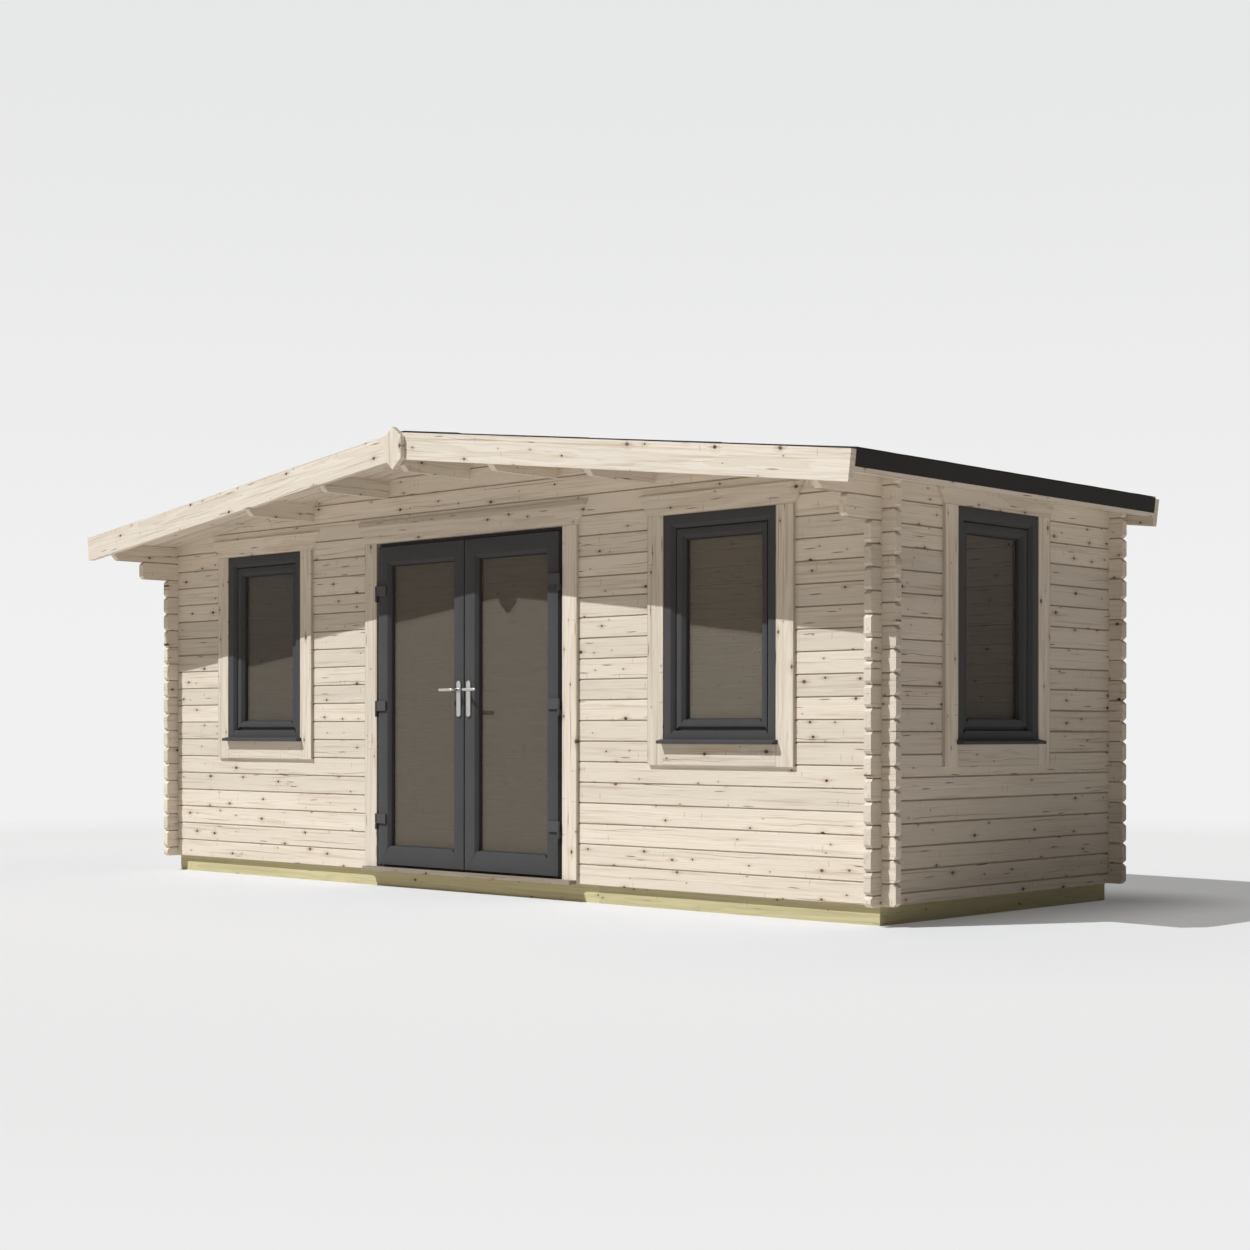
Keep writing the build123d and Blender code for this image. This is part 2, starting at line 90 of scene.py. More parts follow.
# %% A socket that can be added and multiplied
class Signal:
    """An output socket of a material's nodes. Sums of signals add Math nodes."""

    def __init__(self, tree, socket=None):
        self.tree = tree
        self.socket = socket

    def node(self, kind, settings=None, sockets=None, out=0):
        """Add a node of a kind: its settings first, then the values or links of its sockets."""
        made = self.tree.nodes.new(kind)
        for name, value in (settings or {}).items():
            setattr(made, name, value)
        for key, value in (sockets or {}).items():
            if isinstance(value, Signal):
                self.tree.links.new(value.socket, made.inputs[key])
            else:
                made.inputs[key].default_value = value
        return Signal(self.tree, made.outputs[out] if made.outputs else None)

    def math(self, operation, *values):
        """A Math node on these values, in their order."""
        return self.node("ShaderNodeMath", {"operation": operation}, dict(enumerate(values)))

    def __add__(self, other):
        return self.math("ADD", self, other)

    def __sub__(self, other):
        return self.math("SUBTRACT", self, other)

    def __mul__(self, other):
        return self.math("MULTIPLY", self, other)

    def __rsub__(self, other):
        return self.math("SUBTRACT", other, self)

    __radd__ = __add__
    __rmul__ = __mul__

    def __gt__(self, other):
        """1 where it is more than the other, else 0."""
        return self.math("GREATER_THAN", self, other)

    def __lt__(self, other):
        """1 where it is less than the other, else 0."""
        return self.math("LESS_THAN", self, other)

    def __abs__(self):
        return self.math("ABSOLUTE", self)

    def at_least(self, other):
        """The larger of the two."""
        return self.math("MAXIMUM", self, other)

    def hypot(self, other):
        """The root of the sum of both squares: the length of a slanting line."""
        return self.math("SQRT", self * self + other * other)

    def ramp(self, low, high, kind="LINEAR"):
        """A rise from 0 at low to 1 at high."""
        return self.node("ShaderNodeMapRange", {"interpolation_type": kind},
                         {"Value": self, "From Min": low, "From Max": high})

    def step(self, low, high):
        """A smooth rise from 0 at low to 1 at high."""
        return self.ramp(low, high, "SMOOTHSTEP")

    def parts(self):
        """The three numbers of a vector or a colour."""
        split = self.node("ShaderNodeSeparateXYZ", {}, {0: self})
        return [Signal(self.tree, socket) for socket in split.socket.node.outputs]

    def here(self):
        """The x, y and z of the shaded point, in metres on the piece's own axes."""
        return self.node("ShaderNodeTexCoord", out="Object").parts()

    def vector(self, x, y, z):
        return self.node("ShaderNodeCombineXYZ", {}, {0: x, 1: y, 2: z})

    def noise(self, x, y, z, detail=2.0):
        """Soft noise, about 0.5, at a point."""
        return self.node("ShaderNodeTexNoise", {}, {"Vector": self.vector(x, y, z), "Scale": 1.0,
                                                    "Detail": detail})

    def mix(self, share, first, second):
        """The first colour, with this share of the second."""
        return self.node("ShaderNodeMix", {"data_type": "RGBA"}, {0: share, 6: first, 7: second}, 2)

    def scaled(self, colour, value):
        """A colour, made lighter or darker."""
        return self.node("ShaderNodeVectorMath", {"operation": "SCALE"}, {0: colour, "Scale": value})

    def bump(self, height, depth, strength=1.0):
        """A surface that rises with height, by up to this depth in metres."""
        return self.node("ShaderNodeBump", {}, {"Height": height, "Distance": depth,
                                                "Strength": strength})

    def surface(self, sockets):
        """The shader of a surface, with these values or links."""
        return self.node("ShaderNodeBsdfPrincipled", {}, sockets)


def material(name, build):
    """A material whose shader is what build returns."""
    made = bpy.data.materials.new(name)
    made.use_nodes = True
    made.node_tree.nodes.clear()
    start = Signal(made.node_tree)
    start.node("ShaderNodeOutputMaterial", {}, {"Surface": build(start)})
    return made


print("signals ready")

# %% [markdown]
# ## Floor
# The cabin stands on a plain pale floor. A floor that is lit by lamps never quite matches the
# backdrop, so beyond a few metres it fades into the backdrop's colour, for rays that show it only.
# The cabin keeps its shadow, which a painted glow, seen only by rays that show the floor, lightens a
# little with the distance. Close to the base the floor is painted slightly darker, as painted shade. A
# weak glow stands for the light that a wide floor sends back up.

# %% Floor that fades into the backdrop
horizon_colour = (0.880, 0.880, 0.880, 1.0)
floor_colour = (0.835, 0.835, 0.835, 1.0)
floor_painted_shade = (0.740, 0.755, 0.775, 1.0)
painted_shade_fade = (0.3, 3.0)
floor_bounce = (0.785, 0.715, 0.665, 1.0)
floor_reach = 60.0
floor_fade = (5.0, 12.0)
shadow_fade = (0.0, 1.0)
shadow_painted_glow = (0.12, 0.24)
bounce_glow = 0.08
base_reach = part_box("perimeter_bearers")[1]


def seen_rays(start):
    """1 for rays that show the backdrop: from the camera, off gloss or through glass."""
    from_camera, off_gloss, through_glass = (
        start.node("ShaderNodeLightPath", out=kind)
        for kind in ("Is Camera Ray", "Is Glossy Ray", "Is Transmission Ray"))
    return from_camera.at_least(off_gloss).at_least(through_glass)


def floor_finish(start):
    """A pale matt floor that fades into the backdrop with the distance from the cabin, with painted shade
    close to the base and a painted glow in the cabin's shadow.
    """
    x, y, _ = start.here()
    far = x.hypot(y).step(*floor_fade)
    beside = (abs(x) - base_reach.x).at_least(0.0)
    before = (abs(y) - base_reach.y).at_least(0.0)
    away = beside.hypot(before)
    seen = seen_rays(start)
    # painted light: a glow share that grows with the distance from the base lightens the cabin's shadow
    glow_share = shadow_painted_glow[0] + away.step(*shadow_fade) * shadow_painted_glow[1]
    share = far.at_least(glow_share) - bounce_glow
    # painted shade: the floor that rays show is darker and cooler close to the base
    seen_floor = start.mix(away.step(*painted_shade_fade), floor_painted_shade, floor_colour)
    matt = start.surface({"Base Color": start.mix(seen, floor_bounce, seen_floor),
                          "Roughness": 1.0, "Specular IOR Level": 0.0})
    glow = start.node("ShaderNodeEmission", {}, {"Color": horizon_colour})
    return start.node("ShaderNodeMixShader", {}, {0: bounce_glow + share * seen, 1: matt, 2: glow})


span = np.array([-floor_reach, floor_reach])
corners = np.stack(np.meshgrid(span, span, [0.0], indexing="ij"), -1).reshape(-1, 3)
floor_mesh = bpy.data.meshes.new("studio_floor")
floor_mesh.from_pydata(corners.tolist(), [], [(0, 2, 3, 1)])
studio_floor = bpy.data.objects.new("studio_floor", floor_mesh)
floor_mesh.materials.append(material("studio_floor", floor_finish))
bpy.context.scene.collection.objects.link(studio_floor)
print("floor fades from", floor_fade[0], "to", floor_fade[1], "metres")

# %% [markdown]
# ## Sky
# Rays that show the backdrop see a pale grey, slightly darker higher up. All other rays see a weak
# warm sky that fills the shade. It is dimmer on the right, so the right-hand wall stays in the shade.

# %% Sky
zenith_colour = (0.800, 0.805, 0.805, 1.0)
gradient_rise = 0.34
fill_colour = (0.80, 0.745, 0.70, 1.0)
fill_dim = (0.15, 0.142, 0.136, 1.0)
fill_turn = (-0.2, 0.8)
fill_strength = 0.130

world = bpy.data.worlds.new("studio")
world.use_nodes = True
world.node_tree.nodes.clear()
sky = Signal(world.node_tree)
rightward, _, up = sky.node("ShaderNodeTexCoord", out="Generated").parts()
fill = sky.node("ShaderNodeBackground", {}, {
    "Color": sky.mix(rightward.step(*fill_turn), fill_colour, fill_dim), "Strength": fill_strength})
backdrop = sky.node("ShaderNodeBackground", {}, {
    "Color": sky.mix(up.step(0.0, gradient_rise), horizon_colour, zenith_colour)})
sky_mix = sky.node("ShaderNodeMixShader", {}, {0: seen_rays(sky), 1: fill, 2: backdrop})
sky.node("ShaderNodeOutputWorld", {}, {"Surface": sky_mix})
bpy.context.scene.world = world
bpy.context.scene.view_settings.view_transform = "Standard"
print("strength of the fill:", fill_strength)

# %% [markdown]
# ## Sun
# One sun stands high at the front left. It is as small as the real one, so the shadows of the roof and
# of each log end have sharp edges.

# %% Sun
sun_travel = (0.318, 0.554, -0.769)
sun_strength = 3.55
sun_angle = 0.008

lamp = bpy.data.lights.new("sun", "SUN")
lamp.energy = sun_strength
lamp.angle = sun_angle
sun = bpy.data.objects.new("sun", lamp)
sun.rotation_euler = (math.acos(-sun_travel[2]), 0.0, math.atan2(-sun_travel[0], sun_travel[1]))
bpy.context.scene.collection.objects.link(sun)
print("sun height, degrees:", round(math.degrees(math.asin(-sun_travel[2])), 1))

# %% [markdown]
# ## A point in its board
# Every board has its own figure, so the shader first needs to know where a point lies along, across
# and through its board, and which board that is. White noise of the board's number then gives three
# random numbers that are the same all over one board and unlike its neighbour's.

# %% A point in its board
run_spread = 40
lift_spread = 30


class Board:
    """A point's place in its board. lay turns x, y, z into a place along, across and through the board,
    and the board's number. The run along it and the lift start at random places of the patterns."""

    def __init__(self, start, lay):
        self.start = start
        along, self.across, self.through, number = lay(*start.here())
        dice = start.node("ShaderNodeTexWhiteNoise", {"noise_dimensions": "1D"}, {"W": number}, "Color")
        first, self.second, self.third = dice.parts()
        self.run = along + first * run_spread
        self.lift = self.second * lift_spread
        self.sway = start.noise(self.run * 7, self.across * 20 + self.lift, 5.0) - 0.5

    def grain(self, along, across, detail=2.0, shift=0):
        """Soft noise with this many waves a metre along the board and across it."""
        deep = self.through * across
        return self.start.noise(self.run * along, self.across * across + self.lift,
                                deep + shift if shift else deep, detail)

    def strewn(self, x, y, chance):
        """Marks strewn over a board, one to a cell. Returns the distance to the nearest mark, 1 where its
        cell keeps it, and the mark's own size and shade."""
        cell = self.start.node("ShaderNodeTexVoronoi", {"voronoi_dimensions": "2D"},
                               {"Vector": self.start.vector(x, y, 0.0), "Scale": 1.0})
        size, lot, shade = Signal(cell.tree, cell.socket.node.outputs["Color"]).parts()
        return cell, lot > chance, size, shade


print("boards ready")

# %% [markdown]
# ## Knots and cracks
# A branch leaves a dark, hard knot, with warm wood around it that runs off along the grain. As timber
# dries it opens in cracks along its length. Pockets of bark and resin are short dark dashes, and faint
# checks go across the grain. The cells of a Voronoi pattern strew all but the cracks: each cell has a
# random colour, which says whether it keeps its mark and how big that is.

# %% Knots, cracks, dashes and checks
knots_along, knots_across = 5.0, 6.6
knot_chance = 0.12
knot_least, knot_growth = 0.0030, 0.0085
flare_along, flare_across = 0.075, 0.009
crack_tracks = ((0.31, 0.9), (-0.27, 1.3))
crack_narrow, crack_wide = 0.0008, 0.0028
dash_scale = (4.5, 72.0)
dash_chance = 0.962
check_scale = (62.0, 13.0)
check_chance = 0.978


def knots(board):
    """Round knots whose radius grows with the square of a random size. Returns the knot, the warm ring
    around it, the longer oval of warm wood along the grain, and the knot's own shade."""
    x = board.run * knots_along
    y = board.across * knots_across + board.lift
    cell, kept, size, shade = board.strewn(x, y, knot_chance)
    middle_x, middle_y, _ = Signal(cell.tree, cell.socket.node.outputs["Position"]).parts()
    past = (x - middle_x) * (1 / (knots_along * flare_along))
    aside = (y - middle_y + board.sway * 0.03) * (1 / (knots_across * flare_across))
    flare = kept * size * (1 - past.hypot(aside).step(0.1, 1.0))
    away = (cell + board.sway * 0.012) * (1 / knots_across)
    radius = knot_least + size * size * knot_growth
    knot = kept * (1 - away.ramp(radius * 0.62, radius * 1.1))
    halo = kept * (1 - away.step(0.0, radius * 4))
    return knot, halo, flare, shade


def drying_cracks(board, width):
    """Cracks along the grain: tracks that bend across the board, as wide as a noise along them says."""
    crack = 0.0
    for spread, pace in crack_tracks:
        bend = board.start.noise(board.run * (1.9 * pace), board.lift + spread * 50, 4.0, 3.0) - 0.5
        track = (board.second * 0.7 + spread) * (width * 0.8) - width * 0.28 + bend * 0.055
        opened = board.start.noise(board.run * (1.15 * pace) + 31, board.lift, spread * 90)
        opened = opened.step(0.52, 0.69)
        beyond = abs(board.across - track).step(0.0005, crack_narrow + opened * crack_wide)
        crack = ((1 - beyond) * opened * 0.7).at_least(crack)
    return crack


def dashes(board):
    """Short dark dashes along the grain: cells drawn out along the board, of which few keep a mark."""
    y = (board.across + board.sway * 0.016) * dash_scale[1] + board.lift
    cell, kept, _, _ = board.strewn(board.run * dash_scale[0], y, dash_chance)
    return kept * (1 - cell.step(0.08, 0.25))


def checks(board):
    """Faint checks across the grain: cells drawn out across the board, of which few keep a mark."""
    x = (board.run + board.sway * 0.006) * check_scale[0]
    cell, kept, _, _ = board.strewn(x, board.across * check_scale[1] + board.lift, check_chance)
    return kept * (1 - cell.step(0.10, 0.34))


print("marks ready")

# %% [markdown]
# ## Timber
# Every board was sawn from a round trunk, so its figure is a slice through growth rings: cylinders
# about a pith that wanders past the board. Working out the distance to that pith at each point gives
# arches on the faces and rings on the ends for nothing, which a flat picture of wood could not do.
# Warm streaks, fine fibres and a tone of its own for each board go on top, with dark joints that are
# partly dirt and partly painted shade in the groove between boards.

# %% Growth rings and colour
spruce_look = {
    "pale": (0.758, 0.706, 0.610, 1.0), "ring": (0.590, 0.500, 0.375, 1.0),
    "streak": (0.44, 0.325, 0.220, 1.0), "crack": (0.115, 0.062, 0.036, 1.0),
    "knot": (0.034, 0.024, 0.017, 1.0), "seam": (0.13, 0.092, 0.060, 1.0),
    "rings_per_metre": 230.0, "tone": 0.15, "cracks": 1.0, "joints": 0.54,
}
pith_spread = 0.09
seam_start, seam_end = 0.0062, 0.0012
timber_bump = 0.0011


def late_wood(board, halo, rings_per_metre):
    """Dark late wood: the distance to a wandering pith, counted in rings that also bend around knots.
    Each ring darkens slowly and ends sharply."""
    wander = board.start.noise(board.run * 0.45, board.lift, board.third * 20, 1.0) - 0.5
    ripple = board.grain(3.5, 25) - 0.5
    off_across = board.across + (board.second - 0.5) * pith_spread + wander * 0.10
    off_through = board.through + (board.third - 0.5) * pith_spread + wander * 0.03
    turns = (off_across.hypot(off_through) + ripple * 0.006 + halo * 0.010) * rings_per_metre
    phase = turns.math("FRACT", turns)
    return phase.step(0.25, 0.9) - phase.step(0.93, 1.0)


def timber(name, lay, look, width):
    """Sawn timber of boards of a width: pale wood, darkened in turn by rings, streaks, the warm wood of
    knots, cracks, knots, and dirt and painted shade at the joint along each edge."""

    def build(start):
        board = Board(start, lay)
        knot, halo, flare, shade = knots(board)
        late = late_wood(board, halo, look["rings_per_metre"])
        crack = dashes(board).at_least(drying_cracks(board, width)) * look["cracks"]
        streak = board.grain(1.3, 46, 3.0).step(0.52, 0.76)
        warm = board.grain(1.6, 90, shift=7).step(0.62, 0.76)
        fibre = board.grain(8, 380)
        cloud = board.grain(0.7, 7) - 0.5
        # dirt and painted shade: a dark band along each edge stands for the dirt and the shade in the
        # groove between boards
        seam = abs(board.across).step(width / 2 - seam_start, width / 2 - seam_end)
        tone = 1 - look["tone"] / 2 + board.third * look["tone"]

        colour = start.mix(late * 0.36, look["pale"], look["ring"])
        colour = start.mix(streak * 0.50, colour, look["streak"])
        colour = start.mix(warm * 0.48 + checks(board) * 0.45, colour, look["streak"])
        colour = start.mix(halo * 0.30 + flare * 0.55, colour, look["streak"])
        colour = start.scaled(colour, tone + cloud * 0.20 + fibre * 0.20 - 0.10)
        colour = start.mix(crack * 0.85, colour, look["crack"])
        colour = start.mix(knot * (0.74 + shade * 0.26), colour, look["knot"])
        # the joint colour goes over the wood, partly dirt and partly painted shade
        colour = start.mix(seam * look["joints"], colour, look["seam"])
        height = fibre * 0.25 - late * 0.22 - crack - knot * 0.35
        return start.surface({
            "Base Color": colour, "Roughness": 0.66 + fibre * 0.12 - knot * 0.15,
            "Normal": start.bump(height, timber_bump, 0.7), "Specular IOR Level": 0.2})

    return material(name, build)


print("timber ready")

# %% [markdown]
# ## Which way the logs run
# The figure follows the length of each board, so every kind of timber needs to know which way it
# runs. A log of the front wall lies along x and its number comes from its height. In the side walls
# the logs lie along y and start half a log later. Each kind of timber counts from a number of its
# own, so that no two share a figure.

# %% Lays of the wall logs
course = 0.114
log_thickness = 0.044
wall_low, wall_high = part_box("back_wall")
base_top = wall_low.z
half_depth = wall_high.y
half_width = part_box("right_wall")[1].x
far_wall = 70
number_from = {"side_logs": 200, "rafters": 400, "slope_boards": 600, "bargeboards": 802, "finial": 848.0,
               "door_sill": 870.0, "floor": 900, "joists": 940, "bearers": 960, "trim": 1000}


def whole(value, size):
    """Which board of this size a place is in, and the place from that board's middle."""
    share = value * (1 / size)
    number = share.math("FLOOR", share)
    return number, value - (number + 0.5) * size


def long_logs(x, y, z):
    """Logs of the front and back walls and gables, from the ground course up."""
    row, across = whole(z - base_top, course)
    return x, across, abs(y) - (half_depth - log_thickness / 2), row + (y > 0.0) * far_wall


def side_logs(x, y, z):
    """Logs of the side walls, half a course out of step."""
    row, across = whole(z - (base_top - course / 2), course)
    number = row + (x > 0.0) * far_wall + number_from["side_logs"]
    return y, across, abs(x) - (half_width - log_thickness / 2), number


print("courses in the front wall:", round((wall_high.z - base_top) / course, 1))

# %% [markdown]
# ## Which way the roof timbers run
# Purlins run from front to back. Roof boards and bargeboards run down the slope, so their place is
# taken from the slope, not from the ground, and the figure stays in line with the board.

# %% Lays of the roof timbers
rise_share = 0.1221
purlin_spacing = 0.3695
purlin_level = 2.45
slope_level = 2.58
barge_level = 2.57
slab_share = 0.2
other_slope = 90
roof_board_width = 0.1018
roof_low, roof_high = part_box("roof_boards_right")
roof_board_count = round((roof_high.y - roof_low.y) / roof_board_width)
board_pitch = (roof_high.y - roof_low.y) / roof_board_count


def rafters(x, y, z):
    """Purlins and battens that run from front to back."""
    number, through = whole(x, purlin_spacing)
    return y, z - purlin_level, through, number + number_from["rafters"]


def slope_boards(x, y, z):
    """Roof boards, which run down each slope side by side."""
    number, across = whole(y - roof_low.y, board_pitch)
    number = number + (x > 0.0) * other_slope + number_from["slope_boards"]
    return x, across, z + abs(x) * rise_share - slope_level, number


def bargeboards(x, y, z):
    """Boards that follow the slope of the roof in front of it and behind it."""
    drop = z + abs(x) * rise_share - barge_level
    return x, drop, y * slab_share, (x > 0.0) + (y > 0.0) * 2 + number_from["bargeboards"]


def upright_boards(x, y, z):
    """Boards that stand up, such as the finial."""
    return z, x, y, number_from["finial"]


print("roof boards on each slope:", roof_board_count)

# %% [markdown]
# ## Which way the floor and the base run
# Floor boards run from side to side on joists that run from front to back. The bearers go all round,
# so they change direction at the corners: a mask picks x or y as the length.

# %% Lays of the floor and the base
floor_board_width = 0.104
floor_low, floor_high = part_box("floor_boards")
floor_board_count = round((floor_high.y - floor_low.y) / floor_board_width)
floor_board_pitch = (floor_high.y - floor_low.y) / floor_board_count
sill_level = 0.1
joist_cell = 0.3
bearer_level = 0.049
bearer_inset = 0.102


def floor_lay(x, y, z):
    """Floor boards, which run from side to side."""
    number, across = whole(y - floor_low.y, floor_board_pitch)
    return x, across, z, number + number_from["floor"]


def level_boards(x, y, z):
    """Boards that lie along the front, such as the door sill."""
    return x, z - sill_level, y, number_from["door_sill"]


def joist_lay(x, y, z):
    """Joists from front to back."""
    number, through = whole(x, joist_cell)
    return y, z - bearer_level, through, number + number_from["joists"]


def bearer_lay(x, y, z):
    """Bearers along the front and back, and along the sides between them."""
    ends = abs(y) > half_depth - bearer_inset
    along = y + ends * (x - y)
    through = x + ends * (y - x)
    number = ends + (x + y > 0.0) * 2 + number_from["bearers"]
    return along, z - bearer_level, through * slab_share, number


print("floor boards:", floor_board_count)

# %% [markdown]
# ## Which way the trim runs
# Trim boards go round each opening and change from upright to level at its corners. Two masks, one for
# beside the opening and one for below its head, tell the boards apart.

# %% Lay of the trim boards
trim_width = 0.114
trim_slab = 0.3
trim_numbers = 20
foot_number = 5
jamb_reach = {"window_trim_left": 0.3892, "window_trim_right": 0.3892, "window_trim_side": 0.3752,
              "door_trim": 0.8112}
head_level = {name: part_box("door_frame" if name == "door_trim" else "window_frame_left")[1].z
              for name in jamb_reach}


def trim_lay(node, side_wall=False):
    """Trim boards round an opening: upright beside it, level over and under it."""
    low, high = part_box(node)
    axis = 1 if side_wall else 0
    middle = (low[axis] + high[axis]) / 2
    reach = jamb_reach[node]
    head = head_level[node]
    first_number = number_from["trim"] + trim_numbers * list(jamb_reach).index(node)

    def lay(x, y, z):
        over, deep = (y, x) if side_wall else (x, y)
        off = over - middle
        away = abs(off)
        under_head = z < head
        upright = (away > reach) * under_head
        along = over + upright * (z - over)
        level = z - (head + trim_width / 2) + under_head * (head - low.z)
        across = level + upright * (away - (reach + trim_width / 2) - level)
        number = upright * (1 + (off > 0.0)) + (1 - upright) * under_head * foot_number
        return along, across, deep * trim_slab, number + first_number

    return lay


print("openings with trim:", len(jamb_reach))

# %% [markdown]
# ## Giving the solids their timber
# A solid whose shape is right keeps it, and only its material slot is filled. Grouping the nodes by
# the way their timber runs keeps this to one short table. The base is treated against rot, which turns
# it green, and the door sill is weathered.

# %% Timber on the solids
def dress(name, finish):
    """Put a finish on a CAD node."""
    mesh = nodes[name].data
    mesh.materials.clear()
    mesh.materials.append(finish)


loose_look = dict(spruce_look, pale=(0.772, 0.726, 0.640, 1.0), joints=0.0)
# The trims keep a lighter joint darkening at their edges, partly dirt and partly painted shadow where a
# trim meets the wall.
trim_look = dict(spruce_look, joints=0.30)
treated_look = dict(loose_look, pale=(0.565, 0.535, 0.325, 1.0), ring=(0.43, 0.39, 0.225, 1.0),
                    streak=(0.38, 0.33, 0.18, 1.0), cracks=0.5)
sill_look = dict(loose_look, pale=(0.31, 0.277, 0.228, 1.0), ring=(0.25, 0.215, 0.165, 1.0),
                 streak=(0.21, 0.165, 0.115, 1.0))
spruce_nodes = {
    long_logs: ["front_wall_left", "front_wall_right", "front_lintel_log", "front_gable", "back_wall",
                "back_gable"],
    side_logs: ["left_wall", "right_wall"],
    rafters: ["ridge_purlin", "side_purlins", "eaves_battens"],
    slope_boards: ["roof_boards_left", "roof_boards_right"],
    bargeboards: ["front_bargeboards", "rear_bargeboards"],
    upright_boards: ["front_finial"],
    floor_lay: ["floor_boards"],
}
loose_width = 0.15
joined_widths = {long_logs: course, side_logs: course, slope_boards: board_pitch,
                 floor_lay: floor_board_pitch}
spruce = {}
for lay, names in spruce_nodes.items():
    look = spruce_look if lay in joined_widths else loose_look
    spruce[lay] = timber("spruce_" + lay.__name__, lay, look, joined_widths.get(lay, loose_width))
    for name in names:
        dress(name, spruce[lay])
for name in jamb_reach:
    lay = trim_lay(name, name == "window_trim_side")
    dress(name, timber("spruce_" + name, lay, trim_look, trim_width))
dress("perimeter_bearers", timber("treated_bearers", bearer_lay, treated_look, loose_width))
dress("floor_joists", timber("treated_joists", joist_lay, treated_look, loose_width))
dress("door_sill", timber("weathered_sill", level_boards, sill_look, loose_width))
print("timber finishes:", len(bpy.data.materials))

# %% [markdown]
# ## Film, powder coat and rubber
# The window and door bars are plastic with a dark matt film, very slightly grained. The hinges are
# coated to match, and the seals are black rubber. Each is one dark colour, made uneven by noise in
# metres, so the grain has the same size on every piece.

# %% Film, powder coat and rubber
def grain(start, waves, detail=2.0):
    """Soft noise with this many waves a metre, alike in all directions."""
    x, y, z = start.here()
    return start.noise(x * waves, y * waves, z * waves, detail)


def film_finish(start):
    """Dark grey film: a faint moulded grain and slightly uneven gloss."""
    pebble = grain(start, 420)
    cloud = grain(start, 5)
    colour = start.mix(cloud, (0.066, 0.068, 0.071, 1.0), (0.080, 0.082, 0.085, 1.0))
    return start.surface({
        "Base Color": start.scaled(colour, 0.9 + pebble * 0.2), "Roughness": 0.46 + cloud * 0.14,
        "Normal": start.bump(pebble, 0.0002, 0.5), "Specular IOR Level": 0.06})


def hinge_finish(start):
    """Hinges powder-coated to match the bars, a little glossier."""
    speck = grain(start, 900)
    colour = start.mix(speck, (0.066, 0.068, 0.070, 1.0), (0.092, 0.094, 0.096, 1.0))
    return start.surface({
        "Base Color": colour, "Roughness": 0.34 + speck * 0.18,
        "Normal": start.bump(speck, 0.0001, 0.5), "Specular IOR Level": 0.15})


def rubber_finish(start):
    """Black rubber seals, matt and faintly dusty."""
    dust = grain(start, 60, 3.0)
    colour = start.mix(dust.step(0.5, 0.8), (0.010, 0.010, 0.010, 1.0), (0.035, 0.034, 0.032, 1.0))
    return start.surface({
        "Base Color": colour, "Roughness": 0.6 + dust * 0.25, "Normal": start.bump(dust, 0.0002)})


film = material("dark_film", film_finish)
hinge_coat = material("hinge_coat", hinge_finish)
black_rubber = material("black_rubber", rubber_finish)
print("dark finishes:", film.name, hinge_coat.name, black_rubber.name)

# %% [markdown]
# ## Glass, felt and chrome
# The panes are tinted sealed units, so they are part see-through and part a warm grey. A share of Alpha
# does this without the noise of real refraction. Some panes are painted lighter or darker than others, as
# painted light for the light in the room behind them. The felt on the roof is bitumen with mineral grit,
# and the handles are satin chrome.

# %% Glass, felt and chrome
def glass_finish(veil, painted_brightness):
    """Tinted glass: a warm grey veil that lets part of the room show, with faint wipe marks. Its
    painted_brightness makes the veil lighter or darker, as painted light.
    """

    def build(start):
        x, y, z = start.here()
        wipe = start.noise((x + y) * 9 + z * 4, z * 14 - (x + y) * 3, 2.0, 3.0)
        colour = start.mix(wipe, (0.152, 0.136, 0.108, 1.0), (0.180, 0.162, 0.132, 1.0))
        return start.surface({
            "Base Color": start.scaled(colour, painted_brightness), "Roughness": 0.03 + wipe * 0.06,
            "Alpha": veil + wipe * 0.04, "Specular IOR Level": 0.1})

    return build


def felt_finish(start):
    """Black felt: grit on bitumen, worn paler in patches."""
    grit = grain(start, 700, 3.0)
    patch = grain(start, 1.5, 4.0)
    colour = start.mix(grit.step(0.45, 0.8), (0.020, 0.018, 0.016, 1.0), (0.085, 0.080, 0.074, 1.0))
    return start.surface({
        "Base Color": start.scaled(colour, 0.75 + patch * 0.5), "Roughness": 0.78 + grit * 0.2,
        "Normal": start.bump(grit, 0.0012, 0.8), "Specular IOR Level": 0.25})


def chrome_finish(start):
    """Satin chrome: fine brush lines and slightly uneven polish."""
    x, y, z = start.here()
    brush = start.noise(x * 900, y * 900, z * 60)
    colour = start.mix(grain(start, 30), (0.50, 0.49, 0.46, 1.0), (0.60, 0.59, 0.56, 1.0))
    return start.surface({
        "Base Color": colour, "Metallic": 1.0, "Roughness": 0.24 + brush * 0.16,
        "Normal": start.bump(brush, 0.0001, 0.4)})


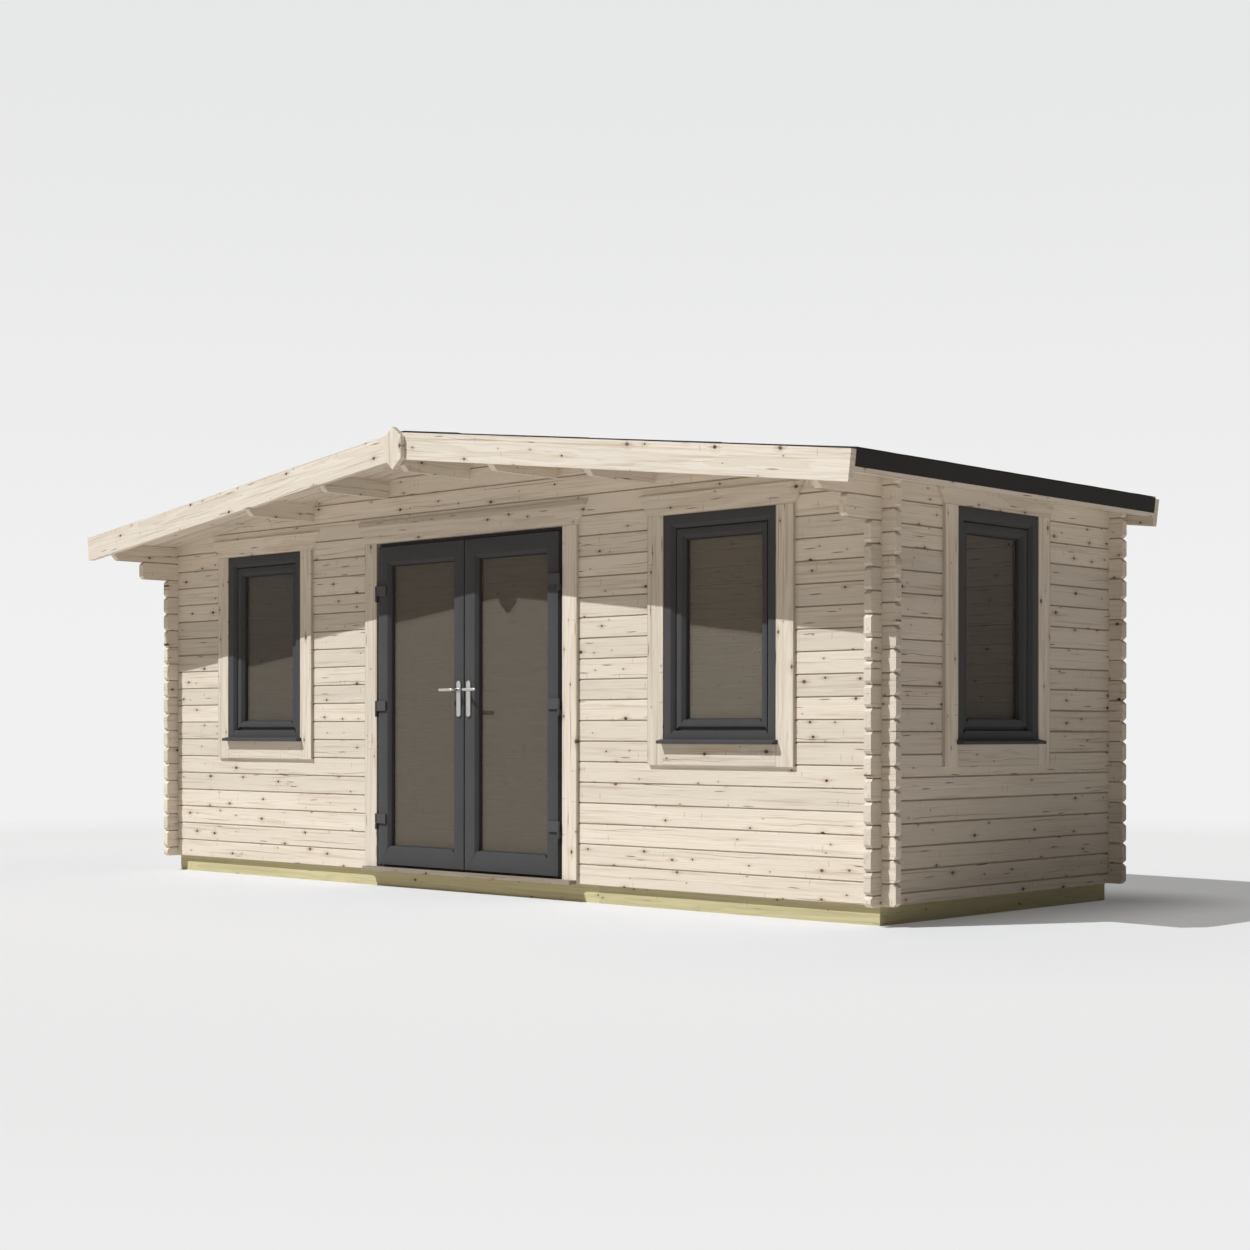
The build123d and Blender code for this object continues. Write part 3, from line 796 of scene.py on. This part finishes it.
# painted light: the left-hand pane is painted darker and the right-hand and side panes lighter than the
# doors' glass, standing for the differing light and reflections in the room behind them
door_glass = material("door_glass", glass_finish(0.58, 1.0))
deep_glass = material("deep_glass", glass_finish(0.60, 0.85))
mild_glass = material("mild_glass", glass_finish(0.40, 1.55))
clear_glass = material("clear_glass", glass_finish(0.26, 1.2))
roof_felt = material("roof_felt", felt_finish)
satin_chrome = material("satin_chrome", chrome_finish)
sides = ("left", "right")
windows = ("left", "right", "side")
plain_finishes = {
    film: ["door_frame", "window_sills"] + ["door_leaf_" + place for place in sides]
          + [part + place for part in ("window_frame_", "window_sash_") for place in windows],
    door_glass: ["door_glass_" + place for place in sides],
    deep_glass: ["window_glass_left"],
    mild_glass: ["window_glass_right"],
    clear_glass: ["window_glass_side"],
    roof_felt: ["roof_cover_left", "roof_cover_right"],
    satin_chrome: [part + place for part in ("door_plates_", "door_lever_") for place in sides],
    hinge_coat: ["hinge_jamb_halves"] + ["door_hinges_" + place for place in sides],
}
for finish, names in plain_finishes.items():
    for name in names:
        dress(name, finish)
print("finishes:", [finish.name for finish in plain_finishes])

# %% [markdown]
# ## Skins from arrays
# Everything added from here on is a skin stretched over rings of points: a profile that is carried
# along a path, or a surface of two parameters. The points of all rings are worked out at once as one
# array, so a hundred boards take no longer to write than one. Normals are turned outwards, and edges
# sharper than a set angle stay sharp.

# %% Skins through rings of points
sharp_angle = math.radians(32)
corner_share = 0.45


def loft(name, rings, finish, body, replaced=()):
    """Skins through rings[island, station, point] of places. Each point is joined to the next point of
    its ring and to the same point of the next station. The first and last rings become end faces."""
    rings = np.asarray(rings, dtype=float)
    count = np.arange(rings[..., 0].size).reshape(rings.shape[:3])
    beside = np.roll(count, -1, axis=2)
    quads = np.stack([count[:, :-1], beside[:, :-1], beside[:, 1:], count[:, 1:]], axis=-1)
    ends = count[:, [0, -1]].reshape(-1, rings.shape[2])
    mesh = bpy.data.meshes.new(name)
    mesh.from_pydata(rings.reshape(-1, 3).tolist(), [], quads.reshape(-1, 4).tolist() + ends.tolist())
    skin = bmesh.new()
    skin.from_mesh(mesh)
    bmesh.ops.recalc_face_normals(skin, faces=skin.faces)
    skin.to_mesh(mesh)
    skin.free()
    mesh.shade_smooth()
    mesh.set_sharp_from_angle(angle=sharp_angle)
    mesh.materials.append(finish)
    piece = bpy.data.objects.new(name, mesh)
    bpy.context.scene.collection.objects.link(piece)
    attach(piece, body)
    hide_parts(*replaced)
    print(name, "faces:", len(mesh.polygons))
    return piece


def rounded(corners, radius, steps=4):
    """A closed outline with its corners rounded: each corner becomes a small arc, the curve of second
    degree from a point before it, towards it, to a point after it."""
    corners = np.asarray(corners, dtype=float)
    before = np.roll(corners, 1, axis=0) - corners
    after = np.roll(corners, -1, axis=0) - corners
    reach_before = np.linalg.norm(before, axis=1, keepdims=True)
    reach_after = np.linalg.norm(after, axis=1, keepdims=True)
    turn = np.minimum(radius, np.minimum(reach_before, reach_after) * corner_share)
    start = corners + before / reach_before * turn
    end = corners + after / reach_after * turn
    t = np.linspace(0.0, 1.0, steps)[None, :, None]
    arc = (1 - t) ** 2 * start[:, None] + 2 * t * (1 - t) * corners[:, None] + t ** 2 * end[:, None]
    return arc.reshape(-1, 2)


def places(x, y, z):
    """Three arrays of coordinates as one array of points."""
    return np.stack(np.broadcast_arrays(x, y, z), axis=-1)


def circle(points):
    """Angles of points evenly round a circle."""
    return np.linspace(0.0, 2 * math.pi, points, endpoint=False)


print("skins ready")

# %% [markdown]
# ## Roof and floor boards
# The roof of the real cabin is made of tongued and grooved boards that run down the slope, and from
# below each joint shows as a small V. One profile, with its two lower edges cut off, is set side by
# side along the roof and carried from the ridge to the eaves. The floor is laid the same way, with
# the V on top.

# %% Boards of the roof and the floor
pitch = math.atan(rise_share)
eaves_courses = 18.5
eaves_reach = 0.216
ridge_underside = base_top + eaves_courses * course + (half_width - log_thickness) * rise_share
roof_reach = half_width + eaves_reach
cover_lip = 0.009
roof_board_thickness = 0.019
slope_length = roof_reach / math.cos(pitch)
board_joint = 0.0004
board_vee = 0.0035
hands = ((-1, "left"), (1, "right"))


def on_slope(side, along, off, y):
    """Points of a roof slope: a distance down it from the ridge and a height off the board's underside."""
    x = side * (along * math.cos(pitch) + off * math.sin(pitch))
    z = ridge_underside - along * math.sin(pitch) + off * math.cos(pitch)
    return places(x, y, z)


def board_profile(width, thickness):
    """A board's outline across its length, (across, off), with a V cut off its two lower edges."""
    half = (width - board_joint) / 2
    return np.array([(-half, thickness), (-half, board_vee), (-half + board_vee, 0.0),
                     (half - board_vee, 0.0), (half, board_vee), (half, thickness)])


board_middles = roof_low.y + (np.arange(roof_board_count) + 0.5) * board_pitch
across, off = board_profile(board_pitch, roof_board_thickness).T
ridge_end = (board_joint - off * math.sin(pitch)) / math.cos(pitch)
ends = np.stack([ridge_end, np.full_like(off, slope_length - cover_lip)])
for side, place in hands:
    rings = on_slope(side, ends[None], off[None, None], (board_middles[:, None] + across)[:, None])
    loft("roof_boarding_" + place, rings, spruce[slope_boards], "cabin",
         replaced=["roof_boards_" + place])

floor_middles = floor_low.y + (np.arange(floor_board_count) + 0.5) * floor_board_pitch
across, off = board_profile(floor_board_pitch, floor_high.z - floor_low.z).T
rings = places(np.array([floor_low.x, floor_high.x])[None, :, None],
               (floor_middles[:, None] + across)[:, None], floor_high.z - off)
loft("floor_boarding", rings, spruce[floor_lay], "cabin", replaced=["floor_boards"])

# %% [markdown]
# ## Felt
# Roofing felt comes in rolls a metre wide. The strips are laid along the eaves from the bottom up,
# each lapping the one below, with a cap over the ridge. A strip is a thin closed profile carried from
# front to back, and its lower edge lifts a little in waves, as felt does when it has been in the sun.

# %% Lapped felt
felt_thickness = 0.0016
felt_wave = 0.0012
felt_waves = np.array([(9.1, 5.0, 1.0), (23.7, 3.0, 1.0), (41.0, 0.0, 0.6)])
felt_drip = 0.002
felt_laps = [(0.40, 1.49), (1.41, 2.41), (2.33, slope_length + felt_drip)]
felt_stations = 90
felt_points = 7
wave_fade = 6
cover_top = roof_board_thickness + 0.068
cap_reach = 0.46
cap_fold = 0.012
felt_y = np.linspace(roof_low.y, roof_high.y, felt_stations)


def felt_lift(along, y):
    """Height of the wave in a strip's lower edge: three sines of unlike lengths along the edge."""
    pace, shift, share = felt_waves.T[:, :, None]
    waves = (share * np.sin(y * pace + along * shift)).sum(axis=0)
    return felt_wave * (0.5 + waves / (2 * share.sum()))


strip_share = np.linspace(0.0, 1.0, felt_points)
for side, place in hands:
    islands = []
    for upper, lower in felt_laps:
        along = upper + (lower - upper) * strip_share
        wave = felt_lift(lower, felt_y)[:, None] * strip_share ** wave_fade
        lap = felt_thickness * strip_share + wave
        under = on_slope(side, along[None], cover_top + lap, felt_y[:, None])
        over = on_slope(side, along[None], cover_top + lap + felt_thickness, felt_y[:, None])
        islands.append(np.concatenate([under, over[:, ::-1]], axis=1))
    loft("felt_strips_" + place, islands, roof_felt, "cabin")

cap_along = np.linspace(cap_reach, cap_fold, felt_points)
cap_lap = 2 * felt_thickness + felt_lift(1.0, felt_y)[:, None] * (cap_along / cap_reach) ** wave_fade
cap_skins = []
for rise in (0.0, felt_thickness):
    left, right = (on_slope(side, cap_along[None], cover_top + cap_lap + rise, felt_y[:, None])
                   for side in (-1, 1))
    cap_skins.append(np.concatenate([left, right[:, ::-1]], axis=1))
loft("felt_ridge_cap", [np.concatenate([cap_skins[0], cap_skins[1][:, ::-1]], axis=1)], roof_felt,
     "cabin")

# %% [markdown]
# ## Felt nails
# Broad-headed nails hold the felt along each lap. There are some two hundred of them, so each head is
# only three rings of eight points: a short rim and a smaller, slightly raised top.

# %% Clout nails along the laps
nail_spacing = 0.075
nail_inset = 0.022
nail_points = 8
nail_radius = np.array([0.0055, 0.0055, 0.0036])
nail_height = np.array([-0.001, 0.0008, 0.0019])

nail_y = np.arange(roof_low.y + nail_spacing / 2, roof_high.y, nail_spacing)
nail_down = nail_radius[:, None] * np.cos(circle(nail_points))
nail_beside = nail_radius[:, None] * np.sin(circle(nail_points))
nails = []
for side in (-1, 1):
    for lower, layers in ((felt_laps[0][1], 2), (felt_laps[1][1], 2), (cap_reach, 3)):
        lift = cover_top + layers * felt_thickness + nail_height[:, None]
        nails.append(on_slope(side, (lower - nail_inset + nail_down)[None], lift[None],
                              nail_y[:, None, None] + nail_beside))
loft("felt_nails", np.concatenate(nails), satin_chrome, "cabin")

# %% [markdown]
# ## Window and door bars
# The dark bars are plastic extrusions: one profile with soft edges, cut at 45 degrees and welded at the
# corners, where a hairline stays. The profile is drawn once as (inset, depth). Bottom bars have no
# slope, and leave a wider gap for water to run out.

# %% Profiles of the bars
bar_slope = 0.020
window_face = 0.050
sash_groove = 0.006
drain_gap = 0.020
groove_depth = 0.012
sash_face = 0.032
stile_face = 0.084
rail_face = 0.094
glass_depth = 0.038
glass_rebate = 0.012
glass_thickness = 0.014
bar_edge = 0.0022
bead_width = 0.006
bead_depth = 0.011


def bar_profiles(face, depth, grooves=(), glazed=True):
    """Outlines of the bottom bar and the other bars: flat for the face, then a slope back to the opening
    (flat at the bottom), then straight. There can be grooves of two widths around the front edge, and
    one in the opening for the glass."""
    opening = face + bar_slope
    deep = opening - glass_rebate
    glass_back = glass_depth + glass_thickness
    seat = [(opening, glass_depth), (deep, glass_depth), (deep, glass_back), (opening, glass_back)]
    outlines = []
    for bar, drop in enumerate((0.0, bar_slope)):
        edge = [(0.0, 0.0)]
        if grooves:
            edge = [(0.0, groove_depth), (grooves[bar], groove_depth), (grooves[bar], 0.0)]
        front = [(0.0, depth)] + edge + [(face, 0.0), (opening, drop)]
        corners = front + (seat if glazed else []) + [(opening, depth)]
        outlines.append(rounded(corners, bar_edge))
    return np.stack(outlines)


def bead_profiles(face):
    """A small rubber wedge against the glass, in the corner of a bar's opening, alike on all sides."""
    inset = face + bar_slope
    front = glass_depth - bead_depth
    corners = [(inset, glass_depth), (inset, front), (inset + bead_width / 2, front),
               (inset + bead_width, glass_depth - bead_depth / 3), (inset + bead_width, glass_depth)]
    return np.stack([rounded(corners, bar_edge)] * 2)


print("glass behind the face of the bars, mm:", glass_depth * 1000)

# %% [markdown]
# ## Bars round each opening
# The profiles are carried round the rectangle of each window or door leaf. Every corner point lies on
# the diagonal of its corner, which gives the mitre for nothing. A black rubber bead lies between each
# sash and its glass.

# %% Moulded bars, mitred at the corners
weld_line = 0.00025


def mitred(rectangle, profiles, place, taller=0.0):
    """Four bars round a rectangle (low, high, bottom, top), from profiles of (inset, depth): the first
    for the bottom bar, the second for the others. The two rings of a bar lie on the corner diagonals.
    Level bars can be taller than upright ones are wide."""
    low, high, bottom, top = rectangle
    inset, depth = np.moveaxis(profiles[[0, 1, 1, 1]], -1, 0)
    rise = inset + np.where(inset > inset.max() / 3, taller, 0.0)
    corners = [np.stack([over, up]) for over, up in (
        (low + inset, bottom + rise), (high - inset, bottom + rise),
        (high - inset, top - rise), (low + inset, top - rise))]
    first = np.stack([corners[bar][:, bar] for bar in range(4)], axis=1)
    last = np.stack([corners[(bar + 1) % 4][:, bar] for bar in range(4)], axis=1)
    line = weld_line * np.sign(last - first)
    over, up = np.stack([first + line, last - line], axis=2)
    return place(over, depth[:, None], up)


def wall_place(node, side_wall):
    """The rectangle of a CAD node in its wall, its depth, and where a place in that wall lies."""
    low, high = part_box(node)
    axis = 1 if side_wall else 0
    rectangle = (low[axis], high[axis], low.z, high.z)
    if side_wall:
        return rectangle, high.x - low.x, lambda over, depth, up: places(high.x - depth, over, up)
    return rectangle, high.y - low.y, lambda over, depth, up: places(over, low.y + depth, up)


for name in windows:
    rectangle, depth, place = wall_place("window_frame_" + name, name == "side")
    profiles = bar_profiles(window_face, depth, glazed=False)
    loft("moulded_frame_" + name, mitred(rectangle, profiles, place), film, "cabin",
         replaced=["window_frame_" + name])
    rectangle, depth, place = wall_place("window_sash_" + name, name == "side")
    face = sash_groove + sash_face
    profiles = bar_profiles(face, depth, (drain_gap, sash_groove))
    loft("moulded_sash_" + name, mitred(rectangle, profiles, place), film, "cabin",
         replaced=["window_sash_" + name])
    loft("window_bead_" + name, mitred(rectangle, bead_profiles(face), place), black_rubber, "cabin")
for name in sides:
    rectangle, depth, place = wall_place("door_leaf_" + name, False)
    taller = rail_face - stile_face
    loft("moulded_leaf_" + name, mitred(rectangle, bar_profiles(stile_face, depth), place, taller), film,
         "door_" + name, replaced=["door_leaf_" + name])
    loft("door_bead_" + name, mitred(rectangle, bead_profiles(stile_face), place, taller), black_rubber,
         "door_" + name)

# %% [markdown]
# ## Window sills
# Below each window a plastic sill throws the rain clear of the wall. Its top slopes outwards, its nose
# turns down, and a groove below the nose makes drops fall off. The outline is drawn once as (depth,
# height) in front of the trim boards and carried along the window.

# %% Sills with a drip groove
sill_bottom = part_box("window_sills")[0].z
sill_horn = 0.013
sill_reach = 0.042
sill_back, sill_nose = 0.024, 0.016
drip_front, drip_back = 0.034, 0.006
drip_depth = 0.005
sill_edge = 0.0015
sill_outline = rounded([(0.0, 0.0), (0.0, sill_back), (-sill_reach, sill_nose), (-sill_reach, 0.0),
                        (-drip_front, 0.0), (-drip_front, drip_depth), (-drip_back, drip_depth),
                        (-drip_back, 0.0)], sill_edge, 3)
for name in windows:
    low, high = wall_place("window_frame_" + name, name == "side")[0][:2]
    place = wall_place("window_trim_" + name, name == "side")[2]
    ends = np.array([low - sill_horn, high + sill_horn])[:, None]
    loft("moulded_sill_" + name, [place(ends, sill_outline[:, 0], sill_bottom + sill_outline[:, 1])], film,
         "cabin", replaced=["window_sills"])

# %% [markdown]
# ## Handles
# Each leaf has a long plate with round ends and a lever on both faces. The plate is its outline drawn
# in and lifted in a few steps, so its edge is soft. The lever is one round section carried out from
# the plate, round a bend and along to its tip, flattening on the way, as a cast lever does.

# %% Handle plates and levers
handle_offset = 0.043
plate_width = 0.035
plate_points = 36
plate_insets = np.array([0.0, 0.0, 0.0010, 0.0034])
plate_rises = np.array([0.0, 0.0062, 0.0082, 0.0090])
lever_height = 1.194
lever_length = 0.118
lever_points = 20
neck_radius = 0.008
collar_radius = 0.0105
collar_rises = [0.0004, 0.0036, 0.0048]
bend_radius = 0.016
bend_start = 0.034
grip_half_depth = 0.006
grip_half_face = 0.009
tip_share = 0.94


def plate_rings(side, face, outward, low, high):
    """A plate with round ends: half circles about two centres, drawn in as it rises off the leaf."""
    angle = circle(plate_points) + math.pi / plate_points
    radius = plate_width / 2 - plate_insets[:, None]
    end = np.where(np.sin(angle) > 0, high - plate_width / 2, low + plate_width / 2)
    return places(side * (handle_offset + radius * np.cos(angle)),
                  (face + outward * plate_rises)[:, None], end + radius * np.sin(angle))


def lever_rings(side, face, outward):
    """A lever: an oval carried out from its plate, round a quarter circle and along to a round tip."""
    quarter = math.pi / 2
    bend = np.linspace(0.0, quarter, 8)
    tip = np.linspace(0.0, quarter, 6)[1:] * tip_share
    straight = lever_length - grip_half_face
    collar = np.zeros(len(collar_rises))
    along_grip = np.ones(1 + tip.size)
    rise = np.concatenate([collar_rises, bend_start + bend_radius * np.sin(bend),
                           (bend_start + bend_radius) * along_grip])
    run = np.concatenate([collar, bend_radius * (1 - np.cos(bend)), [straight],
                          straight + grip_half_face * np.sin(tip)])
    turn = np.concatenate([collar, bend, quarter * along_grip])
    share = turn / quarter
    size = np.concatenate([np.ones(collar.size + bend.size + 1), np.cos(tip)])
    flat = (neck_radius + (grip_half_depth - neck_radius) * share) * size
    tall = (neck_radius + (grip_half_face - neck_radius) * share) * size
    flat[:2] = tall[:2] = collar_radius
    angle = circle(lever_points)
    out = flat[:, None] * np.cos(angle)
    x = handle_offset + run[:, None] + out * np.cos(turn)[:, None]
    depth = rise[:, None] - out * np.sin(turn)[:, None]
    return places(side * x, face + outward * depth, lever_height + tall[:, None] * np.sin(angle))


for side, name in hands:
    leaf_low, leaf_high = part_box("door_leaf_" + name)
    plate_low, plate_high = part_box("door_plates_" + name)
    faces = ((leaf_low.y, -1), (leaf_high.y, 1))
    plates = [plate_rings(side, face, outward, plate_low.z, plate_high.z) for face, outward in faces]
    loft("handle_plates_" + name, plates, satin_chrome, "door_" + name,
         replaced=["door_plates_" + name])
    levers = [lever_rings(side, face + outward * plate_rises[-1], outward) for face, outward in faces]
    loft("handle_levers_" + name, levers, satin_chrome, "lever_" + name,
         replaced=["door_lever_" + name])

# %% [markdown]
# ## Hinges
# A flag hinge has two halves on one axis. The upper half is a knuckle with a plate on the leaf, and the
# lower half is a knuckle with an arm that reaches back to the jamb. The knuckles are turned, so they
# are circles of changing radius carried up the axis. The plate is an outline with round corners, drawn
# in slightly at its front edge.

# %% Hinge knuckles, plates and arms
hinge_heights = (0.417, 1.106, 1.807)
knuckle_radius = 0.008
knuckle_half = 0.030
knuckle_gap = 0.001
knuckle_points = 20
knuckle_edge = 0.0013
lower_reach = 0.036
plate_reach = 0.090
plate_thickness = 0.011
plate_steps = np.array([0.0, 0.8, 1.0])
plate_draw = 0.985
arm_half = 0.005
arm_edge = 0.001
hinge_corner = 0.004
joints = {joint["name"]: joint for joint in frame["joints"]}
jamb_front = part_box("door_frame")[0].y


def knuckle(axis_x, axis_y, low, high):
    """A turned half knuckle: circles about the axis, with ends rounded by a quarter circle."""
    angle = circle(knuckle_points)
    soft = np.array([0.0, 0.0004, knuckle_edge])
    z = np.concatenate([low + soft, high - soft[::-1]])
    radius = knuckle_radius - knuckle_edge + np.sqrt(2 * knuckle_edge * soft - soft ** 2)
    radius = np.concatenate([radius, radius[::-1]])[:, None]
    return places(axis_x + radius * np.cos(angle), axis_y + radius * np.sin(angle), z[:, None])


for side, name in hands:
    axis_x, axis_y, _ = joints["door_" + name + "_swing"]["pos_m"]
    leaf_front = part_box("door_leaf_" + name)[0].y
    plate_end = axis_x - side * plate_reach
    outline = rounded([(plate_end, -knuckle_half), (axis_x, -knuckle_half), (axis_x, knuckle_half),
                       (plate_end, knuckle_half)], hinge_corner)
    middle = outline.mean(axis=0)
    drawn = np.stack([outline, outline, middle + (outline - middle) * plate_draw])
    rise = plate_thickness * plate_steps[:, None]
    flags = [places(drawn[..., 0], leaf_front - rise, z + drawn[..., 1]) for z in hinge_heights]
    loft("hinge_plates_" + name, flags, hinge_coat, "door_" + name,
         replaced=["door_hinges_" + name])
    uppers = [knuckle(axis_x, axis_y, z - knuckle_half, z + knuckle_half) for z in hinge_heights]
    loft("hinge_upper_knuckles_" + name, uppers, hinge_coat, "door_" + name)
    lower_tops = np.array(hinge_heights) - knuckle_half - knuckle_gap
    lowers = [knuckle(axis_x, axis_y, z - lower_reach, z) for z in lower_tops]
    loft("hinge_lower_knuckles_" + name, lowers, hinge_coat, "cabin",
         replaced=["hinge_jamb_halves"])
    arm = rounded([(axis_x - arm_half, axis_y), (axis_x + arm_half, axis_y),
                   (axis_x + arm_half, jamb_front), (axis_x - arm_half, jamb_front)], arm_edge)
    arms = [places(arm[:, 0], arm[:, 1], np.array([z - lower_reach, z])[:, None]) for z in lower_tops]
    loft("hinge_arms_" + name, arms, hinge_coat, "cabin")
